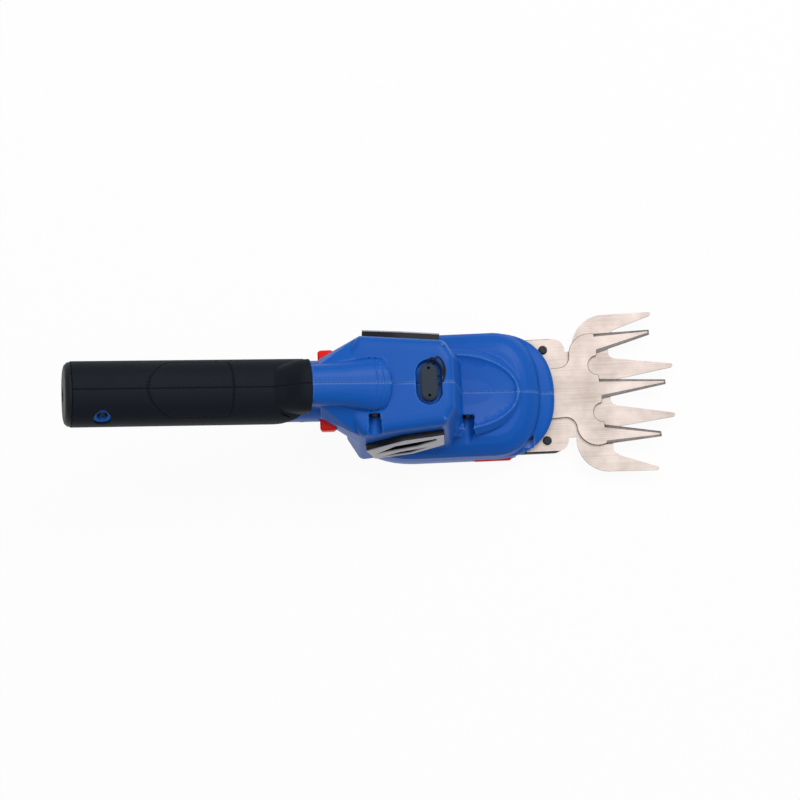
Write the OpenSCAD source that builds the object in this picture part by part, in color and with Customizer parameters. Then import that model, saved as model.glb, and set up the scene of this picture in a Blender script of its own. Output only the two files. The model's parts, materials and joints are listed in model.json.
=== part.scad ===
// Cordless grass shears: blue clamshell body, black soft grip, toothed blade swinging over a fixed comb.
// Millimetres, +X towards the blade tips, +Z up, Z = 0 on the sole.

/* [Body] */
// Half width of the base at its front
base_r = 39.4; // [38:0.2:42]
// Distance between the centres of the two round ends of the base
base_span = 46; // [44:1:52]
// Length of the base's rounded rear end
base_tail = 48; // [46:1:52]
// Distance from the blade pivot back to the centre of the base's front end
base_setback = 29; // [28:0.5:32]
// Height of the base's side wall, where the skirt ends
skirt_top = 16.5; // [15.5:0.5:18]
// Height of the shoulder, where the upright wall of the base turns in
shoulder_z = 25; // [24:0.5:27]
// Height of the motor tower
tower_top = 88; // [86:0.5:94]
// Wall of the blue housing
wall = 2.4; // [2:0.1:2.8]
// Lean of the tower's sides from the upright, degrees
tower_lean = 7; // [5:0.5:9]

/* [Handle] */
// Room in the handle behind the cells
tail_room = 30; // [28:1:40]
// Slope of the handle, degrees, rear end up
handle_tilt = 12; // [10:0.5:14]
// Half width of the handle over the grip
handle_half_w = 19.4; // [19:0.1:21]
// Half height of the handle over the grip
handle_half_h = 20; // [19.5:0.1:22]
// Thickness of the soft grip
grip_t = 1.2; // [0.8:0.1:1.6]
// Height of the neck ridge over the handle's axis
ridge_h = 33.5; // [32:0.5:36]

/* [Blades] */
// Thickness of each blade
blade_t = 2; // [1.5:0.1:2.5]
// Pivot to the tips of the comb's two inner teeth
comb_reach = 85; // [80:1:92]
// Pivot to the tips of the comb's two outer teeth
comb_outer_reach = 73; // [70:1:78]
// Pivot to the tip of the moving blade's middle tooth
mover_reach = 80.8; // [76:0.2:84]
// Half stroke of the moving blade, degrees
half_stroke = 10; // [8:0.5:11]
// Angle of the moving blade at rest, degrees from mid stroke
rest_angle = 3.7; // [0:0.1:6]

/* [Drive] */
// Blade pivot back to the axis of the drive gear
crank_arm = 29; // [28:0.5:30]
// Module of the drive gear and the small compound gear
slow_module = 1; // [0.9:0.05:1.1]
// Teeth on the drive gear
drive_teeth = 36; // [32:2:38]
// Teeth on the small gear of the compound
step_teeth = 12; // [12:1:14]
// Module of the motor pinion and the large compound gear
fast_module = 0.8; // [0.7:0.05:0.85]
// Teeth on the large gear of the compound
large_teeth = 40; // [36:2:40]
// Teeth on the motor pinion
pinion_teeth = 10; // [10:1:12]
// Diameter of the motor can
motor_d = 27.6; // [24:0.2:28]
// Length of the motor can
motor_len = 32; // [28:0.5:36]

/* [Power] */
// Diameter of a battery cell
cell_d = 18.3; // [17:0.1:18.6]
// Length of a battery cell
cell_len = 49.5; // [45:0.5:50]

/* [Fits] */
// Gap between pieces that lie against each other
seat_gap = 0.2; // [0.1:0.05:0.3]
// Gap round a piece that slides or swings
slide_gap = 0.3; // [0.2:0.05:0.4]
// Radial gap of a shaft in its hole
run_gap = 0.05; // [0.03:0.01:0.08]

/* [Hidden] */
$fn = 48;
ring_n = 56;

// Levels of the blade stack and the gear train
sole_t = 3;
sole_sink = 2.2;
comb_z = 7;
mover_z = comb_z + blade_t + 0.1;
mouth_z = 13.5;
gear_z = 12.5;
gear_t = 5;
large_z = gear_z + gear_t + 1;
large_t = 4;
plate_z = large_z + large_t + 2;
plate_t = 2.5;
motor_z = plate_z + plate_t;

// Places along X, from the blade pivot
base_fx = -base_setback;
base_square = 0.86;
base_rx = base_fx - base_span;
carrier_x0 = -14.7;
drive_x = -crank_arm;
slow_dist = slow_module * (drive_teeth + step_teeth) / 2;
compound_x = drive_x - slow_dist;
fast_dist = fast_module * (large_teeth + pinion_teeth) / 2;
motor_x = compound_x - fast_dist;

// Crank: throw, and its angle at rest from the constant ratio that couples it to the blade
crank_throw = crank_arm * sin(half_stroke);
crank_ratio = 8.47;
crank_rest = rest_angle * crank_ratio;
bush_r = 4;
bush_t = 1.2;
fork_gap = 0.8;

// Handle frame: a point on the axis under the neck
hx = -136.5;
hz = 70;
core_w = handle_half_w - grip_t;
core_h = handle_half_h - grip_t;
ridge_x0 = -7;
grip_x1 = ridge_x0 - seat_gap;
cap_out = 4;
cap_round = 4;
cap_face = handle_half_h - cap_round;

// Pins, screws and their fits
press_gap = 0.02;
parting = 0.05;
pin_r = 2;
screw_r = 1.6;
head_r = 3;
head_h = 1.8;
head_gap = 0.4;
shaft_r = 1.15;
contact_r = 1.5;
trig_pin_r = 1.5;

// Dome over the gears
dome_x = -50.5;
dome_rear = -76;
dome_a = 38.4;
dome_b = 23.5;
dome_band = 3.5;
dome_slope = 0.2;

// Cells, board and charging socket, in the handle's frame
cell_w = 5;
cell_x1 = -17;
cell_x0 = cell_x1 - 2 * cell_len;
handle_len = tail_room - cell_x0;
board_w = -9;
board_t = 1.6;
jack_w = -5;
jack_r = 4;

// Trigger group, in the handle's frame: pin, slot, switch and spring
trig_x = -12;
trig_w = -16.5;
trig_half = 7.5;
trig_len = 58;
trig_slot_x = trig_x - trig_len - 3;
trig_slot_w = -8.2;
switch_x = -30;
switch_half = 2.9;
spring_x = -50;
spring_top = -6;
spring_foot = -15;
spring_r = 2.2;
wire_r = 0.3;

// Plug and its cord
plug_x = -68;
plug_floor = tower_top - 5;
plug_r = 5.3;
plug_half = 5.8;
plug_t = 6;
pin_pitch = 8.2;
plug_moat = 2.4;
pin_down = 9;
pin_up = 2.4;
eye_r = 0.9;
cord_d = 1.1;

// Lock button and vents
lock_x = -129.3;
lock_z = 68;
lock_half = 4.8;
lock_reach = 24.4;
vent_x = -84;
vent_z = 58;
vent_yaw = 5.6;
vent_seat = 1.5;
vent_out = 3.8;
trim_t = 0.8;

// Release buttons in the side walls of the base
rel_x0 = -42;
rel_x1 = -17.4;
rel_mid = -31;
rel_z0 = 5.6;
rel_z1 = 11.6;
rel_in = base_r - wall - 3;
rel_flange = 1;
rel_out = base_r + 0.4;
post_y = rel_in - 6.6;
post_t = 1.5;

// Blades, their bolt and their bed
tip_point = 0.8;
pivot_r = 4;
peg_r = 2;
peg_x = 5;
peg_y = 28.6;
nut_z = 0.6;
nut_t = 3.6;
comb_plate_w = 35.2;
comb_plate_x = 18.5;
comb_plate_x0 = -8;
comb_corner = 7;
fan_x = 43.6;
fan_y = 29.2;
fan_r = 20.2;
comb_root = 46;
gullet_r = 3;
mover_neck = 15.7;
neck_fillet = 7;
mover_fan = [35.5, 22.3, 13];
mover_gullet = [39.7, 14.9, 6];
tail_half = 8.5;
tail_end = -41;
bevel = 2.2;
land = 0.6;
tip_flat = 0.8;
carrier_half = comb_plate_w + 0.6;
carrier_x1 = 16;
rail_in = 28;

// The part's origin is under the middle of its length
rear_x = hx - (handle_len + cap_out) * cos(handle_tilt) - cap_face * sin(handle_tilt);
shift_x = -(comb_reach + tip_point + rear_x) / 2;

// Screw at the handle's rear end: along and above its axis
tail_screw = [-handle_len + 17.5, 11.5];
// Beside the nose screw the outline moves 1.2 times as far as the side of the base
nose_head_y = 1.2 * base_r - 20.78;
// Axes of the body screws along Y: [x, z, boss radius, head recess radius]
handle_pt = function (lx, w) [
  hx + lx * cos(handle_tilt) + w * sin(handle_tilt),
  hz - lx * sin(handle_tilt) + w * cos(handle_tilt)
];
screw_axes = [
  [-101, tower_top - 2.5, 5, 4.2], [-45, 35.9, 6, 4.8], [-7, 18, 2.8, 3.2],
  concat(handle_pt(tail_screw[0], tail_screw[1]), [4.2, 3.4]), concat(handle_pt(-8, -2), [4.4, 3.4])
];
// Depth of each head below the middle plane on the right side
head_y = [17.5, 14, nose_head_y, 13, 16.2];
boss_r = 3.6;
boss_side = base_r - wall - boss_r + 0.8;
boss_tail = base_tail - wall - boss_r + 0.8;
sole_screw_at = [
  for (y = [1, -1]) each [
    [base_rx - boss_tail * spow(cos(52), base_square), y * boss_side * spow(sin(52), base_square)],
    [base_rx + 14, y * boss_side]
  ]
];

// Rings and skins
function spow(v, e) = sign(v) * pow(abs(v), e);
function oval(a, b, n) = [for (i = [0:ring_n - 1]) let (t = 360 * i / ring_n)
  [a * spow(cos(t), 2 / n), b * spow(sin(t), 2 / n)]];
// Oblong ring: half ellipses about two centres, squared by an exponent
function oblong(xf, af, xr, ar, b, z, slope = 0, square = 1) = [for (i = [0:ring_n - 1])
  let (t = 360 * (i + 0.5) / ring_n, c = spow(cos(t), square), x = c > 0 ? xf + af * c : xr + ar * c)
  [x, b * spow(sin(t), square), z + slope * (xf + af - x)]];
// Corners of a polygon rounded by arcs of n steps
function rounded(p, r, n = 3) = [for (i = [0:len(p) - 1])
  let (a = p[(i + len(p) - 1) % len(p)], b = p[i], c = p[(i + 1) % len(p)],
    u = (a - b) / norm(a - b), v = (c - b) / norm(c - b),
    half = acos(max(-1, min(1, u * v))) / 2, d = r / tan(half),
    m = b + (u + v) / norm(u + v) * r / sin(half), s = b + u * d - m, e = b + v * d - m)
  for (k = [0:n]) let (w = s * (1 - k / n) + e * k / n) m + w / norm(w) * r];
function raised(p, z) = [for (q = p) [q[0], q[1], z]];

// Closed skin over rings that have the same number of points, listed from the bottom up
module skin(rings) {
  n = len(rings[0]);
  last = len(rings) - 1;
  polyhedron(
    [for (r = rings) each r],
    concat(
      [[for (i = [0:n - 1]) i]],
      [[for (i = [n - 1:-1:0]) last * n + i]],
      [for (k = [0:last - 1], i = [0:n - 1]) let (j = (i + 1) % n)
        each [[k * n + i, (k + 1) * n + i, (k + 1) * n + j], [k * n + i, (k + 1) * n + j, k * n + j]]]
    ), 4);
}

module at_origin() translate([shift_x, 0, 0]) children();
module in_handle() translate([hx, 0, hz]) rotate([0, handle_tilt, 0]) children();
module along_handle(x0, x1) translate([x0, 0, 0]) rotate([90, 0, 90]) linear_extrude(x1 - x0) children();
module half_space(side) translate([-400, side > 0 ? parting : -400 - parting, -50]) cube([600, 400, 300]);
module y_rod(x, z, r, y0, y1) translate([x, y1, z]) rotate([90, 0, 0]) cylinder(r = r, h = y1 - y0);
module slab(x0, x1, y0, y1, z0, z1) translate([x0, y0, z0]) cube([x1 - x0, y1 - y0, z1 - z0]);
module both_sides() { children(); mirror([0, 1, 0]) children(); }

// Base: skirt, crescent step at the nose, shoulder. inset makes the hollow
function base_ring(nose, tail, side, z) =
  oblong(base_fx, nose, base_rx, tail - base_r + base_tail, side, z, square = base_square);
function base_rings(inset) = let (low = inset > 0 ? -2 : 0, tuck = inset > 0 ? 0 : 1.4, r = base_r - inset,
    s = shoulder_z, k = skirt_top - inset * 0.6)
  [
    base_ring(r - tuck, r - tuck, r - tuck, sole_t + seat_gap + low),
    base_ring(r, r, r, sole_t + 2.5),
    base_ring(r, r, r, k),
    base_ring(r - 2.2, r, r - 0.2, k + 1.6),
    base_ring(r - 9.3, r, r - 0.4, k + 3.4),
    base_ring(r - 10.4, r - 0.9, r - 1, s - inset * 0.6),
    base_ring(r - 13, r - 3, r - 3.2, s + 3 - inset),
    base_ring(r - 17, r - 6.5, r - 7.5, s + 6 - inset),
    base_ring(r - 21.5, r - 11, r - 12.5, s + 7.6 - inset)
  ];
module base_outline(cut) let (r = base_r - cut) polygon([for (q = base_ring(r, r, r, 0)) [q[0], q[1]]]);

// Gear dome: oval plateau with a sloping band round its edge, rising towards the tower
function dome_ring(cut, z) = oblong(dome_x, dome_a - cut, dome_rear, 20, dome_b - cut, z, dome_slope);
function dome_rings(inset) = let (z = shoulder_z + 9 - inset, c = inset) [
  dome_ring(c - dome_band, shoulder_z - 2 - c), dome_ring(c - dome_band, z - 3.6),
  dome_ring(c - 0.4, z - 0.4), dome_ring(c + 0.2, z), dome_ring(c + 0.9, z - 0.4),
  dome_ring(c + 8, z + 0.2), dome_ring(c + 15, z + 0.9)
];

// Motor tower: tapered octagon in plan with leaning sides and a crowned top
function tower_plan(g) = let (
    h = [[-52.5 + 0.9 * g, 15.5 + 0.5 * g], [-58.5 + 0.5 * g, 25.8 + g], [-109.5 - 0.3 * g, 30.6 + g],
      [-116 - 0.5 * g, 20 + 0.6 * g]])
  concat(h, [for (i = [3:-1:0]) [h[i][0], -h[i][1]]]);
function tower_ring(g, z, r) = raised(rounded(tower_plan(g), r), z);
function tower_rings(inset) = let (t = tower_top - inset, lean = tan(tower_lean), c = -inset)
  [
    tower_ring(c + lean * (tower_top - 8 - shoulder_z), shoulder_z - inset, 4),
    tower_ring(c, t - 6, 3.6), tower_ring(c - 0.5, t - 3.9, 3.6), tower_ring(c - 1.5, t - 2.2, 3.4),
    tower_ring(c - 3, t - 1, 3.2), tower_ring(c - 5.4, t - 0.3, 3), tower_ring(c - 8.5, t, 2.4)
  ];

// Shoulders: flat facets that spread from the neck to the tower
module shoulder_form(inset) {
  c = inset;
  rear = [[12 - c, 94 - c], [17.5 - c, 82], [17 - c, 60], [11 - c, 50 + c]];
  front = [[17 - c, 87 - c], [31 - c, tower_top - 8 - c * 0.7], [33 - c, 52], [27 - c, shoulder_z + c]];
  hull() for (s = [[-133 + c, rear], [-108, front]])
    translate([s[0], 0, 0]) rotate([90, 0, 90]) linear_extrude(0.1)
      polygon(concat(s[1], [for (i = [3:-1:0]) [-s[1][i][0], s[1][i][1]]]));
}

// Neck ridge: arched sections along the handle, with two ring grooves near its rounded end
// Stations: [along, half width, drop of the crown, forward bulge of the middle]
ridge_stations = [
  [ridge_x0, 12, 0, 0], [13, 13.4, 0, 0], [20, 14.6, 0.1, 1], [27, 16.3, 0.3, 3],
  [28.3, 16.5, 0.3, 3.4], [28.7, 16, 0.8, 3.4], [29.1, 16.5, 0.4, 3.5],
  [31.9, 16.6, 0.5, 4], [32.3, 16.1, 1, 4], [32.7, 16.6, 0.6, 4.1],
  [35.6, 16.6, 1, 4.6], [36.5, 15.7, 2.2, 4.8], [36.9, 14, 4, 4.8]
];
function arch(lx, w, h, bulge = 0, n = 16) = concat([[lx, w, 0]],
  [for (i = [0:n]) let (t = 180 * i / n, y = w * spow(cos(t), 0.8))
    [lx + bulge * (1 - y * y / (w * w)), y, h - w * 0.75 * (1 - spow(sin(t), 0.8))]],
  [[lx, -w, 0]]);
module ridge_form(inset) in_handle()
  skin([for (s = ridge_stations) if (inset == 0 || abs(s[2] - 0.15) < 0.2)
    arch(s[0] + (inset > 0 ? 1 : 0), s[1] - inset, ridge_h - s[2] - inset, inset > 0 ? 0 : s[3])]);

module handle_profile(cut) polygon(oval(handle_half_w - cut, handle_half_h - cut, 2.3));

module body_form(inset) {
  skin(base_rings(inset));
  skin(dome_rings(inset));
  skin(tower_rings(inset));
  shoulder_form(inset);
  ridge_form(inset);
  in_handle() along_handle(-handle_len - (inset > 0 ? 1 : 0), 26) handle_profile(grip_t + inset);
}

// Ribs and bosses that stay in the hollow and carry the pieces inside
module body_ribs() {
  for (s = screw_axes) y_rod(s[0], s[1], s[2], -60, 60);
  in_handle() for (x = [cell_x0 + 3, cell_x0 + cell_len, cell_x1 - 3]) difference() {
    slab(x - 1, x + 1, -30, 30, -30, 30);
    translate([-200, 0, cell_w]) rotate([0, 90, 0]) cylinder(d = cell_d + 2 * seat_gap, h = 300);
    slab(x - 5, x + 5, -11 - seat_gap, 11 + seat_gap, board_w - seat_gap, board_w + board_t + seat_gap);
    slab(x - 5, x + 5, -6, 6, -14, cell_w);
  }
  in_handle() both_sides() slab(switch_x - 7, switch_x + 7, switch_half + seat_gap, 30, -10.5, -5);
  in_handle() slab(spring_x - 5, spring_x + 5, -30, 30, spring_top, cell_w - cell_d / 2 - 0.1);
  in_handle() both_sides() y_rod(trig_x, trig_w, 4.5, trig_half + 2 * slide_gap, 30);
  for (x = [motor_x - motor_d / 2 - seat_gap - 2.4, motor_x + motor_d / 2 + seat_gap])
    slab(x, x + 2.4, -60, 60, motor_z + seat_gap, motor_z + motor_len - 4);
  both_sides() slab(-92, -42, 25, 60, plate_z - seat_gap - 2, plate_z - seat_gap);
  both_sides() slab(-92, -86, 22, 60, motor_z + seat_gap, motor_z + 6);
  for (s = sole_screw_at) translate([s[0], s[1], 5.6]) cylinder(r = boss_r, h = 14);
  slab(plug_x - 11, plug_x + 11, -17, 17, plug_floor - wall, tower_top + 5);
}

module body_shell(side) difference() {
  intersection() { body_form(0); half_space(side); }
  difference() { body_form(wall); body_ribs(); }
  // Open mouth under the nose for the blades
  slab(carrier_x0 - seat_gap, 60, -60, 60, -1, mouth_z);
  // Tail of the moving blade and the bolt head swing under the ribs
  translate([0, 0, -1]) cylinder(r = 9, h = mouth_z + 2.4);
  // Recess round the plug, and its two contact holes
  translate([plug_x, 0, plug_floor]) linear_extrude(30) plug_outline(plug_moat);
  for (y = [-pin_pitch, pin_pitch]) translate([plug_x, y, 60]) cylinder(r = contact_r + run_gap, h = 40);
  // Windows for the lock button, the release button and the trigger
  slab(lock_x - lock_half - slide_gap, lock_x + lock_half + slide_gap, -60, 60,
    lock_z - lock_half - slide_gap, lock_z + lock_half + slide_gap);
  both_sides()
    slab(rel_x0 - slide_gap, rel_x1 + slide_gap, rel_in - 5, 60, rel_z0 - slide_gap, rel_z1 + slide_gap);
  in_handle() slab(trig_slot_x, trig_x + 5, -trig_half - slide_gap, trig_half + slide_gap, -40, trig_slot_w);
  in_handle() y_rod(trig_x, trig_w, trig_pin_r + press_gap, -14, 14);
  // Pocket and air slots of the vent
  both_sides() on_tower_side() {
    translate([0, 0, -vent_seat]) linear_extrude(20) offset(delta = seat_gap) vent_outline();
    translate([0, 0, -12]) linear_extrude(30) vent_slots();
  }
  // Screw holes, and head recesses on the right
  for (i = [0:len(screw_axes) - 1]) let (s = screw_axes[i]) {
    y_rod(s[0], s[1], screw_r + run_gap, -60, 12);
    y_rod(s[0], s[1], s[3], -70, -head_y[i]);
  }
  for (s = sole_screw_at) translate([s[0], s[1], 0]) cylinder(r = screw_r + run_gap, h = 14);
}

module on_tower_side() translate([vent_x, 28.2 + tan(tower_lean) * (tower_top - 8 - vent_z), vent_z])
  rotate([0, 0, -vent_yaw]) rotate([-90 + tower_lean, 0, 0]) mirror([0, 1, 0]) children();
module vent_outline() polygon([[-23.5, 5], [-1, 16], [23.5, 16], [23.5, -5], [4, -16], [-19, -16]]);
module vent_slots() {
  polygon([[-18, -4.5], [-6, 8.5], [19, 12.5], [19, 8], [7, 0]]);
  polygon([[-15.5, -13.5], [-4, -7.5], [14, -5], [3, -13.5]]);
}
module vent_insert(side) mirror([0, side < 0 ? 1 : 0, 0]) on_tower_side() difference() {
  translate([0, 0, -vent_seat]) linear_extrude(vent_seat + vent_out) vent_outline();
  translate([0, 0, -5]) linear_extrude(20) vent_slots();
}
module vent_trim(side) mirror([0, side < 0 ? 1 : 0, 0]) on_tower_side() difference() {
  translate([0, 0, vent_out]) linear_extrude(trim_t) vent_outline();
  translate([0, 0, -5]) linear_extrude(20) vent_slots();
}

module housing_left() color("#2f63b8") at_origin() body_shell(1);
module housing_right() color("#2f63b8") at_origin() body_shell(-1);
module vent_insert_left() color("#15161a") at_origin() vent_insert(1);
module vent_insert_right() color("#15161a") at_origin() vent_insert(-1);
module vent_trim_left() color("#a8a3a3") at_origin() vent_trim(1);
module vent_trim_right() color("#a8a3a3") at_origin() vent_trim(-1);

// Grip: soft skin over the handle, with a thumb stop that rises to the neck: [along, half width, height]
stop_stations = [
  [-34, 8, 17], [-27, 12, 20.5], [-21, 14, 24.5], [-16.5, 15.2, 29.5], [-14, 15.6, 32],
  [-11.5, 15.8, 33.2], [grip_x1, 16, 33.8]
];
module grip_half(side) in_handle() difference() {
  intersection() {
    union() {
      along_handle(-handle_len, grip_x1) handle_profile(0);
      skin([for (s = stop_stations) arch(s[0], s[1], s[2])]);
    }
    translate([-300, side > 0 ? parting : -100 - parting, -60]) cube([400, 100, 160]);
  }
  along_handle(-handle_len - 10, 20) handle_profile(grip_t - press_gap);
  // Front edge swept back down the side, from higher up on the right
  translate([ridge_x0, -50, side > 0 ? 0 : 17]) rotate([0, 40, 0]) translate([0, 0, -100])
    cube([80, 100, 100]);
  slab(trig_slot_x, 20, -trig_half - slide_gap, trig_half + slide_gap, -40, trig_slot_w);
  translate([tail_screw[0], -60, tail_screw[1]]) rotate([-90, 0, 0]) cylinder(r = head_r + 2, h = 60);
}
module grip_left() color("#16171b") at_origin() grip_half(1);
module grip_right() color("#16171b") at_origin() grip_half(-1);

// End cap: rounded lid with a spigot inside the handle
module rear_cap() color("#1b1c20") at_origin() in_handle() difference() {
  union() {
    skin([for (s = [[cap_out, cap_round], [cap_out - 0.5, 2.2], [cap_out - 2, 0.8], [0.1, 0.2]])
      [for (q = oval(handle_half_w - s[1], handle_half_h - s[1], 2.3)) [-handle_len - s[0], q[0], q[1]]]]);
    along_handle(-handle_len - 1, -handle_len + 2.7) handle_profile(grip_t + wall + 2 * seat_gap);
  }
  translate([-handle_len - 20, 0, jack_w]) rotate([0, 90, 0]) cylinder(r = jack_r, h = 60);
}
module charge_jack() color("#101113") at_origin() in_handle()
  translate([-handle_len - 1, 0, jack_w]) difference() {
  union() {
    rotate([0, 90, 0]) cylinder(r = jack_r - run_gap, h = 5);
    slab(3.9, 15, -5, 5, -5, 5);
  }
  translate([-1, 0, 0]) rotate([0, 90, 0]) difference() {
    cylinder(r = 2.8, h = 11);
    cylinder(r = 1, h = 11);
  }
}

// Sole: flat cover of the gear case, with a lip, spring posts and the lower bearing of the compound gear
module sole_plate() color("#1a1b1f") at_origin() difference() {
  union() {
    translate([0, 0, 0.8]) linear_extrude(sole_t - 0.8) base_outline(0.6);
    linear_extrude(0.8) base_outline(1.6);
    translate([0, 0, sole_t]) linear_extrude(2) difference() {
      base_outline(wall + seat_gap);
      base_outline(wall + seat_gap + 1.6);
    }
    translate([compound_x, 0, sole_t]) cylinder(r = 4, h = gear_z - sole_t - slide_gap);
    both_sides() slab(rel_mid - 4, rel_mid + 4, post_y - post_t, post_y, sole_t, rel_z1);
  }
  slab(carrier_x0 - seat_gap, 60, -60, 60, -1, 30);
  both_sides() slab(rel_x0 - 2, rel_x1 + 2, rel_in - 3, 60, sole_t, 30);
  translate([compound_x, 0, gear_z - 6]) cylinder(r = pin_r + press_gap, h = 20);
  for (s = sole_screw_at) translate([s[0], s[1], -1]) {
    cylinder(r = screw_r + 0.15, h = 20);
    cylinder(r = head_r + head_gap, h = 1 + sole_sink);
  }
}
module screw(len) {
  translate([0, 0, -head_h]) difference() {
    cylinder(r1 = head_r - 0.5, r2 = head_r, h = head_h);
    for (a = [0, 90]) rotate(a) translate([-1.6, -0.3, -1]) cube([3.2, 0.6, 2]);
  }
  cylinder(r = screw_r, h = len);
}
module sole_screws() color("#303136") at_origin() for (s = sole_screw_at)
  translate([s[0], s[1], sole_sink]) screw(10);
module housing_screws() color("#303136") at_origin() for (i = [0:len(screw_axes) - 1])
  translate([screw_axes[i][0], -head_y[i], screw_axes[i][1]]) rotate([-90, 0, 0]) screw(head_y[i] + 11);

// Involute gear outline, tooth on +X
function involute(a) = tan(a) * 180 / PI - a;
function gear_points(n, m, back = 0.14) = let (
    pa = 28, rp = m * n / 2, rb = rp * cos(pa), ra = rp + 0.9 * m, rf = rp - 1.15 * m,
    half = 90 / n - back * m / 2 / rp * 180 / PI,
    flank = function (r) half + involute(pa) - (r > rb ? involute(acos(rb / r)) : 0),
    r0 = max(rb, rf),
    radii = concat(rf < rb ? [rf] : [], [for (k = [0:3]) r0 + (ra - r0) * k / 3]))
  [for (i = [0:n - 1]) each concat(
    [for (r = radii) let (t = 360 * i / n - flank(r)) r * [cos(t), sin(t)]],
    [for (k = [len(radii) - 1:-1:0]) let (r = radii[k], t = 360 * i / n + flank(r)) r * [cos(t), sin(t)]])];
module gear(n, m, t) linear_extrude(t) polygon(gear_points(n, m));

module drive_gear() color("#d9d6cc") at_origin() translate([drive_x, 0, 0]) difference() {
  union() {
    translate([0, 0, gear_z]) gear(drive_teeth, slow_module, gear_t);
    translate([0, 0, gear_z + gear_t - 0.1])
      cylinder(r = 4.5, h = plate_z - gear_z - gear_t - slide_gap + 0.1);
    rotate(180 + crank_rest) translate([crank_throw, 0, mover_z - 0.6])
      cylinder(r = bush_r - bush_t, h = gear_z - mover_z + 0.7);
  }
  translate([0, 0, gear_z + 0.8]) cylinder(r = pin_r + run_gap, h = 40);
  for (a = [30:60:330]) rotate(a) translate([11, 0, gear_z + 1.4]) cylinder(r = 3, h = 20);
}
module cam_bush() color("#c9a45c") at_origin() translate([drive_x, 0, mover_z - 0.5]) rotate(180 + crank_rest)
  translate([crank_throw, 0, 0]) difference() {
    cylinder(r = bush_r, h = gear_z - mover_z + 0.2);
    translate([0, 0, -1]) cylinder(r = bush_r - bush_t + press_gap, h = 20);
  }
module compound_gear() color("#d9d6cc") at_origin() translate([compound_x, 0, 0]) difference() {
  union() {
    translate([0, 0, gear_z]) rotate(180 / step_teeth) gear(step_teeth, slow_module, large_z - gear_z + 0.1);
    translate([0, 0, large_z]) gear(large_teeth, fast_module, large_t);
    translate([0, 0, large_z]) cylinder(r = 4, h = plate_z - large_z - slide_gap);
  }
  cylinder(r = pin_r + run_gap, h = 60);
}
module gear_axles() color("#c4c6c9") at_origin() {
  translate([drive_x, 0, gear_z + 1]) cylinder(r = pin_r, h = motor_z - gear_z - 1.1);
  translate([compound_x, 0, gear_z - 5.8]) cylinder(r = pin_r, h = motor_z - gear_z + 5.7);
}
module gear_plate() color("#8f9196") at_origin() difference() {
  translate([0, 0, plate_z]) linear_extrude(plate_t) {
    translate([-92, -27]) square([72 - 6, 54]);
    translate([-26, 0]) circle(r = 8);
    translate([-26 - 6, -21]) square([6, 42]);
  }
  for (x = [drive_x, compound_x]) translate([x, 0, 0]) cylinder(r = pin_r + press_gap, h = 60);
  translate([motor_x, 0, 0]) cylinder(r = 5.2, h = 60);
  for (a = [45, 225]) translate([motor_x, 0, 0]) rotate(a) translate([8, 0, 0]) cylinder(r = 1.4, h = 60);
}
module motor_can() color("#b9bbbf") at_origin() translate([motor_x, 0, motor_z]) difference() {
  union() {
    cylinder(d = motor_d, h = motor_len);
    translate([0, 0, -1.6]) cylinder(r = 5, h = 2);
  }
  translate([0, 0, -5]) cylinder(r = shaft_r + run_gap, h = 80);
  for (a = [0, 180]) rotate(a) translate([motor_d / 2 - 3, -3, 6]) cube([6, 6, 10]);
}
module motor_endbell() color("#22242a") at_origin()
  translate([motor_x, 0, motor_z + motor_len + parting]) difference() {
  union() {
    cylinder(d = motor_d - 1, h = 4);
    cylinder(r = 5, h = 6);
    for (y = [-9, 9]) translate([-1.6, y - 0.3, 3]) cube([3.2, 0.6, 6]);
  }
  translate([0, 0, -1]) cylinder(r = shaft_r + run_gap, h = 6);
}
module motor_shaft() color("#d0d2d5") at_origin() translate([motor_x, 0, large_z - 0.6])
  cylinder(r = shaft_r, h = motor_z + motor_len + 4 - large_z);
module motor_pinion() color("#c9a45c") at_origin() translate([motor_x, 0, large_z - 0.4]) difference() {
  rotate(180 / pinion_teeth) gear(pinion_teeth, fast_module, large_t + 1);
  translate([0, 0, -1]) cylinder(r = shaft_r + press_gap, h = 20);
}

// Battery: two cells in line, joined by a strap, with their board below
module battery_cells() color("#3f7f5b") at_origin() in_handle() for (i = [0, 1])
  translate([cell_x0 + i * cell_len + 0.3, 0, cell_w]) rotate([0, 90, 0]) {
    cylinder(d = cell_d, h = cell_len - 1.6);
    cylinder(r = 3.2, h = cell_len - 0.8);
  }
module cell_straps() color("#c9cacc") at_origin() in_handle() {
  slab(cell_x1 - 0.45, cell_x1 - 0.2, -3, 3, cell_w - 4, cell_w + 4);
  slab(cell_x0 - 0.1, cell_x0 + 0.15, -3, 3, cell_w - 8, cell_w + 4);
}
module control_board() color("#1f6b3a") at_origin() in_handle() {
  slab(cell_x0 - 2, trig_slot_x - 1, -11, 11, board_w, board_w + board_t);
  slab(cell_x0 + 10, cell_x0 + 18, -4, 4, board_w - 1.5, board_w + 0.1);
  slab(cell_x0 + 24, cell_x0 + 32, 2, 8, board_w - 2.4, board_w + 0.1);
}

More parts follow.
